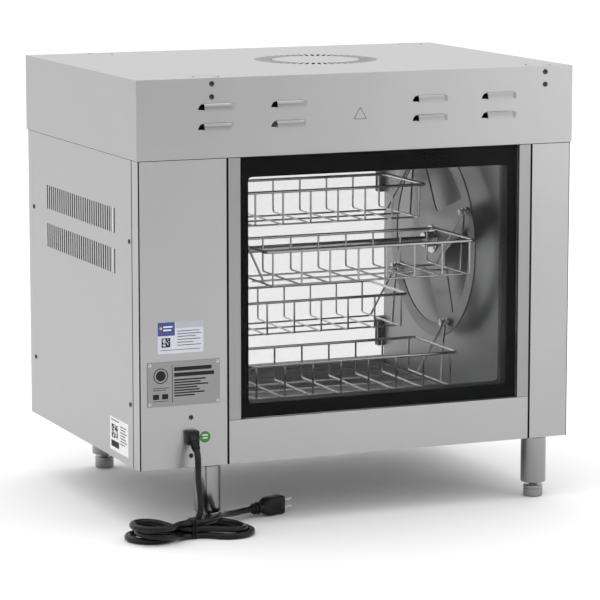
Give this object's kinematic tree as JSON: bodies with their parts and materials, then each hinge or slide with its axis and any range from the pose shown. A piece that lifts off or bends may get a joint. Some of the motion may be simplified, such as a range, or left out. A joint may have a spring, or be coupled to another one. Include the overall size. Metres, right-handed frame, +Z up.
{
  "type": "rotisserie oven",
  "caption": "Countertop glass-sided rotisserie oven: stainless body on adjustable legs, hinged glass door, geared carousel with level-hanging wire baskets, drip tray and tied mains cord.",
  "frame": {"origin": "middle of the oven's overall box without its mains cord, on the surface that the feet stand on", "axes": "+X towards the control compartment, along the oven's width; +Y towards the customer-side window; +Z up; the operator's door faces -Y"},
  "size_m": [0.78, 0.6719, 0.706],
  "materials": {
    "stainless": "fine brushed stainless sheet",
    "polished_steel": "bright rolled stainless sheet",
    "bright_wire": "bright plated wire",
    "clear_glass": "clear toughened glass with a black printed border",
    "dark_steel": "dark oxide and paint",
    "black_plastic": "black moulding",
    "cord_rubber": "black cord jacket",
    "amber_lens": "translucent amber lens"
  },
  "bodies": {
    "body": {"base_pan": "stainless", "hood_cover": "stainless", "control_side_panel": "stainless", "plain_side_panel": "stainless", "rear_control_panel": "stainless", "rear_corner_panel": "stainless", "front_control_panel": "stainless", "front_corner_panel": "stainless", "front_frame": "stainless", "rear_sill": "stainless", "rear_jamb_control": "stainless", "rear_jamb_plain": "stainless", "rear_glass_outer": "clear_glass", "rear_glass_inner": "clear_glass", "nameplate": "polished_steel", "cavity_wall_control": "polished_steel", "cavity_wall_plain": "polished_steel", "cavity_floor": "polished_steel", "cavity_ceiling": "polished_steel", "heating_element_front": "dark_steel", "heating_element_rear": "dark_steel", "cavity_lamp": "clear_glass", "body_hinge_lower": "dark_steel", "body_hinge_upper": "dark_steel", "idle_bearing": "dark_steel", "gearmotor": "dark_steel", "thermostat": "black_plastic", "timer": "black_plastic", "switch_housing": "black_plastic", "pilot_lamp": "amber_lens", "leg_rear_control": "stainless", "leg_rear_plain": "stainless", "leg_front_control": "stainless", "leg_front_plain": "stainless", "strain_relief": "black_plastic", "power_cord_drop": "cord_rubber", "cord_hank": "cord_rubber", "hank_tie": "black_plastic", "power_cord_tail": "cord_rubber", "power_plug": "black_plastic"},
    "door": {"door_glass": "clear_glass", "door_handle": "black_plastic", "door_hinge_lower": "dark_steel", "door_hinge_upper": "dark_steel"},
    "tray": {"drip_tray": "stainless"},
    "carousel": {"wheel_idle": "polished_steel", "wheel_drive": "polished_steel", "carousel_shaft": "polished_steel"},
    "basket_1": {"basket_1": "bright_wire"},
    "basket_2": {"basket_2": "bright_wire"},
    "basket_3": {"basket_3": "bright_wire"},
    "basket_4": {"basket_4": "bright_wire"},
    "thermostat_knob": {"thermostat_knob": "black_plastic"},
    "timer_knob": {"timer_knob": "black_plastic"},
    "rotation_rocker": {"rotation_rocker": "black_plastic"},
    "light_rocker": {"light_rocker": "black_plastic"},
    "foot_rear_control": {"foot_rear_control": "stainless"},
    "foot_rear_plain": {"foot_rear_plain": "stainless"},
    "foot_front_control": {"foot_front_control": "stainless"},
    "foot_front_plain": {"foot_front_plain": "stainless"}
  },
  "joints": [
    {"name": "door_swing", "type": "hinge", "parent": "body", "child": "door", "pos_m": [-0.303, -0.2524, 0.336], "axis": [0, 0, -1], "range_deg": [0, 115]},
    {"name": "tray_slide", "type": "slide", "parent": "body", "child": "tray", "axis": [0, -1, 0], "range_m": [0, 0.4]},
    {"name": "carousel_spin", "type": "hinge", "parent": "body", "child": "carousel", "pos_m": [-0.047, 0.0195, 0.397], "axis": [1, 0, 0], "continuous": true},
    {"name": "basket_1_swing", "type": "hinge", "parent": "carousel", "child": "basket_1", "pos_m": [-0.047, 0.1515, 0.45939], "axis": [1, 0, 0], "continuous": true},
    {"name": "basket_2_swing", "type": "hinge", "parent": "carousel", "child": "basket_2", "pos_m": [-0.047, -0.04289, 0.529], "axis": [1, 0, 0], "continuous": true},
    {"name": "basket_3_swing", "type": "hinge", "parent": "carousel", "child": "basket_3", "pos_m": [-0.047, -0.1125, 0.33461], "axis": [1, 0, 0], "continuous": true},
    {"name": "basket_4_swing", "type": "hinge", "parent": "carousel", "child": "basket_4", "pos_m": [-0.047, 0.08189, 0.265], "axis": [1, 0, 0], "continuous": true},
    {"name": "thermostat_turn", "type": "hinge", "parent": "body", "child": "thermostat_knob", "pos_m": [0.2965, -0.249, 0.4815], "axis": [0, 1, 0], "range_deg": [0, 300]},
    {"name": "timer_turn", "type": "hinge", "parent": "body", "child": "timer_knob", "pos_m": [0.2965, -0.249, 0.3915], "axis": [0, 1, 0], "range_deg": [0, 330]},
    {"name": "rotation_switch_tilt", "type": "hinge", "parent": "body", "child": "rotation_rocker", "pos_m": [0.2745, -0.245, 0.3065], "axis": [-1, 0, 0], "range_deg": [0, 14]},
    {"name": "light_switch_tilt", "type": "hinge", "parent": "body", "child": "light_rocker", "pos_m": [0.3185, -0.245, 0.3065], "axis": [-1, 0, 0], "range_deg": [0, 14]},
    {"name": "foot_rear_control_adjust", "type": "slide", "parent": "body", "child": "foot_rear_control", "axis": [0, 0, -1], "range_m": [0, 0.02]},
    {"name": "foot_rear_plain_adjust", "type": "slide", "parent": "body", "child": "foot_rear_plain", "axis": [0, 0, -1], "range_m": [0, 0.02]},
    {"name": "foot_front_control_adjust", "type": "slide", "parent": "body", "child": "foot_front_control", "axis": [0, 0, -1], "range_m": [0, 0.02]},
    {"name": "foot_front_plain_adjust", "type": "slide", "parent": "body", "child": "foot_front_plain", "axis": [0, 0, -1], "range_m": [0, 0.02]}
  ],
  "couplings": [
    {"joint": "basket_1_swing", "follows": "carousel_spin", "ratio": -1},
    {"joint": "basket_2_swing", "follows": "carousel_spin", "ratio": -1},
    {"joint": "basket_3_swing", "follows": "carousel_spin", "ratio": -1},
    {"joint": "basket_4_swing", "follows": "carousel_spin", "ratio": -1}
  ]
}
